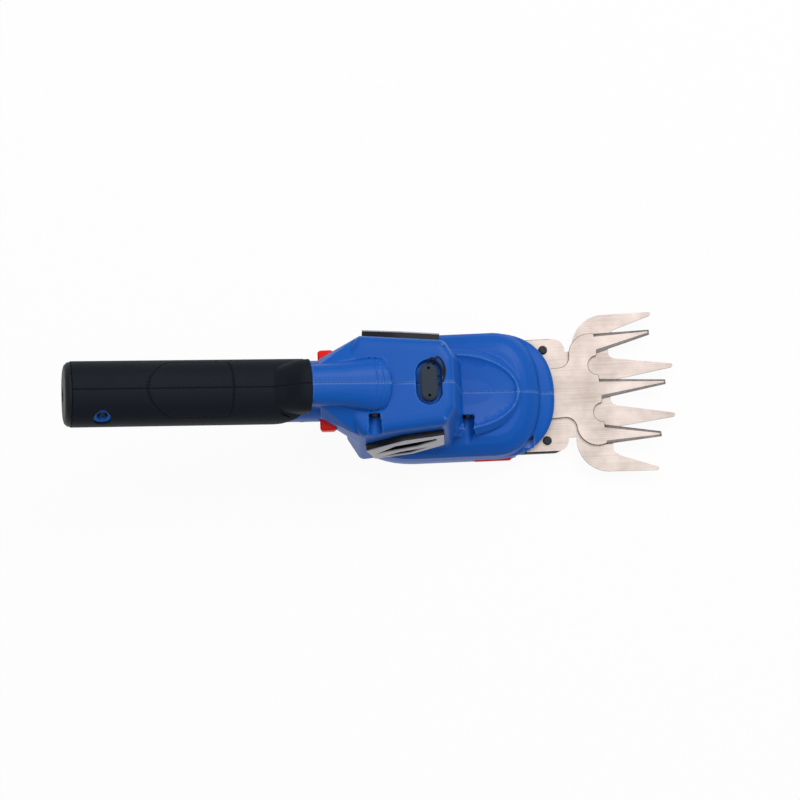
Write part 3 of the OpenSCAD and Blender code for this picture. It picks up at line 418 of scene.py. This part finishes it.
def ridge_arch(along, half_width, drop, bulge, steps=40):
    """Points over the ridge from its left side to its right side, sizes in millimetres."""
    points = []
    for i in range(steps + 1):
        angle = math.pi * i / steps
        side = half_width * power(math.cos(angle), RIDGE_POWER)
        rise = RIDGE_HEIGHT - drop - RIDGE_RISE * half_width * (1 - power(math.sin(angle), RIDGE_POWER))
        forward = along + bulge * (1 - (side / half_width) ** 2)
        points.append(in_handle(forward * MM, side * MM, rise * MM))
    return points


# The dome's rim is a half ellipse ahead of its middle, with straight sides behind. Sizes in millimetres.
DOME_MIDDLE, DOME_LENGTH, DOME_HALF, DOME_REAR_END = -50.5, 37.4, 22.5, -60
RIM_HALF, RIM_HEIGHT, RIM_LOWEST = 1.9, 0.9, 28
RIM_FACING = 0.15


def raise_rim(piece):
    """Lifts a soft bead along the edge of the dome."""
    for vertex in piece.data.vertices:
        along = vertex.co.x / MM - pivot.x / MM - DOME_MIDDLE
        side, height = vertex.co.y / MM, vertex.co.z / MM
        if vertex.normal.z < RIM_FACING or height < RIM_LOWEST or along < DOME_REAR_END - DOME_MIDDLE:
            continue
        if along > 0:
            reach = max(math.hypot(along / DOME_LENGTH, side / DOME_HALF), 0.01)
            steep = math.hypot(along / DOME_LENGTH ** 2, side / DOME_HALF ** 2) / reach
            gap = (reach - 1) / steep
        else:
            gap = abs(side) - DOME_HALF
        if abs(gap) < RIM_HALF:
            vertex.co.z += RIM_HEIGHT * MM * (1 + math.cos(math.pi * gap / RIM_HALF)) / 2


# The tower's rear corners stand out over the base. A floor closes each corner, and a riser joins it to the
# base below. Both are given by their plan on the left side, in millimetres from the pivot.
WEB_FLOOR = [
    (-92, 34.4), (-108.5, 35.6), (-111.8, 34.2), (-118.3, 24), (-118.6, 16), (-112, 16), (-104, 26), (-92, 30)]
WEB_RISER = [
    (-93, 35.8), (-100.5, 33.4), (-104.2, 31.6), (-109.7, 27.9), (-112.8, 24.9), (-116.6, 20.2), (-118.4, 16),
    (-115.5, 14.5), (-113.7, 18), (-110.3, 22.2), (-107.5, 25), (-102.5, 28.2), (-99, 29.8), (-92, 32)]
CORNER_WEBS = [(WEB_FLOOR, 25.0, 26.6), (WEB_RISER, 21.6, 25.8)]


def corner_web(hand, plan, bottom, top):
    """A web of the left side, or of the right side where hand is -1."""
    points = [(pivot.x + x * MM, hand * y * MM, z * MM) for z in (bottom, top) for x, y in plan]
    count = len(plan)
    faces = [list(range(count)), list(range(2 * count - 1, count - 1, -1))]
    faces += [(i, i + count, (i + 1) % count + count, (i + 1) % count) for i in range(count)]
    return block("corner_web", points, faces)


def join(piece, extra):
    """Joins a block to a piece. The voxels then make one skin of the two."""
    pick(piece)
    extra.select_set(True)
    bpy.ops.object.join()


# Voxel size in millimetres, relaxing passes, and the share of the faces that is kept
HOUSING_EASE = (0.55, 2, 0.38)
TRUE_REACH = 0.6
PARTING = 0.05 * MM
LEFT_FACE, RIGHT_FACE = Vector((0, PARTING, 0)), Vector((0, -PARTING, 0))
ACROSS = Vector((0, 1, 0))
ring_cutters = [tube("ring_cutter", ridge_arch(*groove), GROOVE_RADIUS) for groove in RING_GROOVES]
for node, face, hand in (("housing_left", LEFT_FACE, 1), ("housing_right", RIGHT_FACE, -1)):
    half = merged_copy(node)
    for web in CORNER_WEBS:
        join(half, corner_web(hand, *web))
    ease(half, *HOUSING_EASE)
    raise_rim(half)
    true_up(half, face, ACROSS, TRUE_REACH)
    cut(half, ring_cutters)
    seat(half, node, blue_abs)
discard(ring_cutters)

# %% [markdown]
# The foremost screw sits in a pocket in the right corner of the nose. The pocket has a floor: a half pipe
# that is cut from an open cylinder and thickened outwards.

# %% Nose pocket
POCKET_RADIUS, POCKET_WALL, POCKET_INNER, POCKET_OUTER = 3.0, 0.35, 26.8, 33.4
POCKET_BACK, POCKET_UP, POCKET_LIP = 7, 18, 0.5
pocket_axis = Vector((pivot.x - POCKET_BACK * MM, -(POCKET_INNER + POCKET_OUTER) / 2 * MM, POCKET_UP * MM))
bpy.ops.object.select_all(action="DESELECT")
bpy.ops.mesh.primitive_cylinder_add(
    vertices=40, radius=POCKET_RADIUS * MM, depth=(POCKET_OUTER - POCKET_INNER) * MM, end_fill_type="NOTHING",
    location=pocket_axis, rotation=(math.radians(90), 0, 0))
pocket = bpy.context.active_object
pocket.name = "nose_pocket"
bpy.ops.object.transform_apply(location=True, rotation=True, scale=True)
bpy.ops.object.mode_set(mode="EDIT")
bpy.ops.mesh.select_all(action="DESELECT")
bpy.ops.object.mode_set(mode="OBJECT")
for vertex in pocket.data.vertices:
    vertex.select = vertex.co.z > pocket_axis.z + POCKET_LIP * MM
bpy.ops.object.mode_set(mode="EDIT")
bpy.ops.mesh.delete(type="VERT")
bpy.ops.object.mode_set(mode="OBJECT")
wall = pocket.modifiers.new("wall", "SOLIDIFY")
wall.thickness = POCKET_WALL * MM
wall.offset = 1
bpy.ops.object.modifier_apply(modifier=wall.name)
bpy.ops.object.shade_smooth_by_angle(angle=HARD_ANGLE)
pocket.data.materials.append(blue_abs)
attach(pocket, body_of("housing_right"))
print("nose pocket:", len(pocket.data.polygons), "faces")

# %% [markdown]
# The grip is moulded over the handle. A fine groove frames a patch on its back: pointed towards the rear,
# nearly square towards the neck. A small wedge is left out beside the thumb stop, on the right.

# %% Grip
GRIP_EASE = (0.45, 3, 0.35)
PATCH_GROOVE = 0.5
FRONT_BLUNT, REAR_BLUNT = 0.8, 1.1
PATCH_REAR_END, PATCH_REAR, PATCH_FRONT, PATCH_FRONT_END, PATCH_HALF = -102.2, -86, -56, -51.6, 16.4


def on_grip(along, side, lift=0.0):
    """A point on the grip's skin, given along and across the handle in millimetres."""
    ratio = abs(side) * MM / HANDLE_HALF_WIDTH
    rise = HANDLE_HALF_HEIGHT * (1 - ratio ** HANDLE_POWER) ** (1 / HANDLE_POWER)
    return in_handle(along * MM, side * MM, rise + lift * MM)


def patch_outline(steps=48):
    """The patch's outline: a pointed oval at the rear and a flat oval at the front."""
    outline = []
    for i in range(steps):
        angle = 2 * math.pi * (i + 0.5) / steps
        if math.cos(angle) > 0:
            centre, end, blunt = PATCH_FRONT, PATCH_FRONT_END, FRONT_BLUNT
        else:
            centre, end, blunt = PATCH_REAR, PATCH_REAR_END, REAR_BLUNT
        along = centre + abs(end - centre) * power(math.cos(angle), blunt)
        outline.append(on_grip(along, PATCH_HALF * power(math.sin(angle), blunt)))
    return outline


patch_cutter = tube("patch_cutter", patch_outline(), PATCH_GROOVE, closed=True)
WEDGE_BOTTOM, WEDGE_TOP = -0.9, 12
WEDGE = [(-23.6, -13.0), (-22.8, -15.6), (-16.4, -17.6)]
wedge_corners = [on_grip(a, y, lift) for lift in (WEDGE_BOTTOM, WEDGE_TOP) for a, y in WEDGE]
wedge_faces = [(0, 1, 2), (5, 4, 3), (0, 3, 4, 1), (1, 4, 5, 2), (2, 5, 3, 0)]
wedge_cutter = block("wedge_cutter", wedge_corners, wedge_faces)
grip_halves = (
    ("grip_left", LEFT_FACE, [patch_cutter]),
    ("grip_right", RIGHT_FACE, [patch_cutter, wedge_cutter]))
for node, face, cutters in grip_halves:
    half = merged_copy(node)
    ease(half, *GRIP_EASE)
    true_up(half, face, ACROSS, TRUE_REACH)
    true_up(half, in_handle(-HANDLE_LENGTH, 0, 0), handle_axis, TRUE_REACH)
    cut(half, cutters)
    seat(half, node, grip_tpe)
discard([patch_cutter, wedge_cutter])

# %% [markdown]
# Each tooth of the moving blade has a wheel-ground bevel on both flanks, darker than the flat. The fine
# chamfer round the blade's edge is darker still: a painted shadow line that draws its outline on the comb.

# %% Moving blade
FLATTEST, STEEPEST = 0.95, 0.2
CHAMFER = 0.25 * MM
mover = merged_copy("moving_blade")
mover.data.materials.clear()
for material in (blade_steel, bevel_steel, shadow_line_steel):
    mover.data.materials.append(material)
for face in mover.data.polygons:
    face.material_index = 1 if STEEPEST < face.normal.z < FLATTEST else 0
pick(mover)
# The chamfer faces get the third material, the dark painted shadow line round the blade.
chamfer = mover.modifiers.new("chamfer", "BEVEL")
chamfer.width = CHAMFER
chamfer.use_clamp_overlap = False
chamfer.segments = 1
chamfer.limit_method = "ANGLE"
chamfer.angle_limit = math.radians(60)
chamfer.material = 2
bpy.ops.object.modifier_apply(modifier=chamfer.name)
bpy.ops.object.shade_smooth_by_angle(angle=math.radians(20))
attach(mover, body_of("moving_blade"))
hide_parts("moving_blade")
print("moving blade:", len(mover.data.polygons), "faces")

# %% [markdown]
# The other nodes keep their CAD shape. Only their edges are eased, by the radius that fits their size.

# %% Other nodes
finishes = [
    (black_abs, 0.4, ["sole_plate", "blade_carrier", "charge_jack"]),
    (black_abs, 0.8, ["trigger", "rear_cap"]),
    (black_abs, 0.2, ["plug_socket", "motor_endbell", "trigger_switch"]),
    (gloss_abs, 0.4, ["vent_insert_left", "vent_insert_right"]),
    (plug_rubber, 0.3, ["plug_cap"]),
    (silver_paint, 0.15, ["vent_trim_left", "vent_trim_right"]),
    (red_abs, 0.3, ["lock_button", "release_left", "release_right", "switch_plunger"]),
    (blade_steel, 0.12, ["comb_blade"]),
    (bolt_steel, 0.15, ["pivot_bolt", "pivot_nut", "gear_axles", "motor_shaft", "gear_plate"]),
    (bolt_steel, 0.0, ["trigger_spring", "release_spring_left", "release_spring_right"]),
    (screw_black, 0.12, ["sole_screws", "housing_screws", "comb_screws", "trigger_pin"]),
    (gear_acetal, 0.0, ["drive_gear", "compound_gear"]),
    (brass, 0.1, ["cam_bush"]),
    (dark_brass, 0.1, ["plug_pins"]),
    (brass, 0.0, ["motor_pinion"]),
    (motor_shell, 0.3, ["motor_can"]),
    (cell_wrap, 0.4, ["battery_cells"]),
    (nickel_strip, 0.0, ["cell_straps"]),
    (board_laminate, 0.1, ["control_board"]),
]
dressed = {}
for material, radius_mm, nodes in finishes:
    for node in nodes:
        dressed[node] = dress(node, material, radius_mm)
print("dressed", sum(len(nodes) for _, _, nodes in finishes), "other nodes")

# %% [markdown]
# The springs shorten as their buttons and the trigger go in. Here each spring's dressed copy only gets a
# mesh of its own; nothing flattens it.


def shorten(node):
    """Gives a spring's dressed copy a mesh of its own; it does not flatten the spring."""
    spring = dressed[node]
    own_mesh(spring)


for hand, side in ((1, "left"), (-1, "right")):
    shorten("release_spring_" + side)
trigger_middle = sum((vertex.co for vertex in dressed["trigger_spring"].data.vertices), Vector())
trigger_middle /= len(dressed["trigger_spring"].data.vertices)
shorten("trigger_spring")

# %% [markdown]
# The plug has a thin braided pull cord. It is a limp cord of 1.1 mm, drawn as one curve along the same
# points as the solid that it replaces, measured from the middle of the plug's floor.

# %% Pull cord
PLUG_BACK = 68 * MM
PLUG_FLOOR = 83.2 * MM
CORD_DIAMETER = 1.1 * MM
cord_route = [
    (4, 3.2, 3), (6.2, 3.3, 5.1), (8, 4, 5.8), (8.3, 6.4, 5.8), (7, 9.4, 5.8), (5, 12, 5.8), (3.2, 13.9, 5.8),
    (1.4, 13.9, 5.8), (0.2, 12.4, 5.2), (0, 10.9, 3.8), (1.5, 10.6, 3.2), (3, 10.8, 4.2), (3.6, 12.6, 7.2),
    (5.6, 14.4, 7.4), (7.8, 12.6, 7.2), (9.4, 9, 6), (9.7, 5.4, 5.8), (8.6, 1, 5.8),
    (6.4, -1.3, 5.1), (4, -2, 3),
]
plug_floor = Vector((pivot.x - PLUG_BACK, 0, PLUG_FLOOR))


def smooth_path(points, steps):
    """Points on a curve that passes through every given point."""
    path = []
    for i in range(len(points) - 1):
        a = points[max(i - 1, 0)]
        b, c = points[i], points[i + 1]
        d = points[min(i + 2, len(points) - 1)]
        for k in range(steps):
            t = k / steps
            path.append(0.5 * (2 * b + (c - a) * t + (2 * a - 5 * b + 4 * c - d) * t ** 2
                               + (3 * b - a - 3 * c + d) * t ** 3))
    return path + [points[-1]]


cord_path = smooth_path([plug_floor + Vector(point) * MM for point in cord_route], 6)
pull_cord = round_curve("pull_cord_braid", cord_path, CORD_DIAMETER / 2, 3)
cord_nylon = moulded("braided_nylon", "#08080a", "#141417", 0.6, 0.5, 0.08)
pull_cord.data.materials.append(cord_nylon)
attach(pull_cord, "plug")
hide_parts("pull_cord")

# %% [markdown]
# The tool lies on a plain white sweep under large soft lights. The floor is nearly white for the camera,
# and keeps a part of its own shading, so the tool's soft shadow stays. From below it is clear.

# %% Floor, world and lights
FLOOR_HALF, FLOOR_DROP, FLOOR_GLOW = 3.0, 0.3 * MM, 0.94
WORLD_FILL = 0.25


def seen_ray(tree):
    """1 for the rays that show a surface to the camera, directly or through gloss or glass."""
    ray = add(tree, "ShaderNodeLightPath", {})
    seen = add(tree, "ShaderNodeMath", {
        0: ray.outputs["Is Camera Ray"], 1: ray.outputs["Is Glossy Ray"]}, operation="MAXIMUM")
    seen = add(tree, "ShaderNodeMath", {
        0: seen.outputs["Value"], 1: ray.outputs["Is Transmission Ray"]}, operation="MAXIMUM")
    return seen.outputs["Value"]


bpy.ops.object.select_all(action="DESELECT")
bpy.ops.mesh.primitive_plane_add(size=2 * FLOOR_HALF, location=(0, 0, -FLOOR_DROP))
floor = bpy.context.active_object
floor.name = "floor"
white_sweep, tree, shader = new_material("white_sweep", {"Base Color": linear("#f4f4f4"), "Roughness": 0.9})
share = add(tree, "ShaderNodeMath", {0: seen_ray(tree), 1: FLOOR_GLOW}, operation="MULTIPLY")
glow = add(tree, "ShaderNodeEmission", {"Color": (1, 1, 1, 1), "Strength": 1.0})
mixed = add(tree, "ShaderNodeMixShader", {
    0: share.outputs["Value"], 1: shader.outputs["BSDF"], 2: glow.outputs["Emission"]})
side_seen = add(tree, "ShaderNodeNewGeometry", {})
clear = add(tree, "ShaderNodeBsdfTransparent", {})
mixed = add(tree, "ShaderNodeMixShader", {
    0: side_seen.outputs["Backfacing"], 1: mixed.outputs["Shader"], 2: clear.outputs["BSDF"]})
tree.links.new(mixed.outputs["Shader"], tree.nodes["Material Output"].inputs["Surface"])
floor.data.materials.append(white_sweep)

world = bpy.data.worlds.new("studio")
bpy.context.scene.world = world
world.use_nodes = True
tree = world.node_tree
strength = add(tree, "ShaderNodeMapRange", {"Value": seen_ray(tree), "To Min": WORLD_FILL, "To Max": 1.0})
background = tree.nodes["Background"]
background.inputs["Color"].default_value = (1, 1, 1, 1)
tree.links.new(strength.outputs["Result"], background.inputs["Strength"])


def softbox(name, place, size, watts, tint):
    """A square studio light that faces the middle of the tool."""
    data = bpy.data.lights.new(name, "AREA")
    data.size = size
    data.energy = watts
    data.color = linear(tint)[:3]
    light = bpy.data.objects.new(name, data)
    light.location = place
    light.rotation_euler = (view_target - Vector(place)).to_track_quat("-Z", "Y").to_euler()
    bpy.context.scene.collection.objects.link(light)
    return light


softbox("overhead_softbox", (0.0, 0.4, 1.9), 2.2, 21, "#fffdfa")
softbox("key_softbox", (0.8, 0.9, 1.5), 0.8, 13, "#fffaf5")
bpy.context.scene.view_settings.view_transform = "Standard"
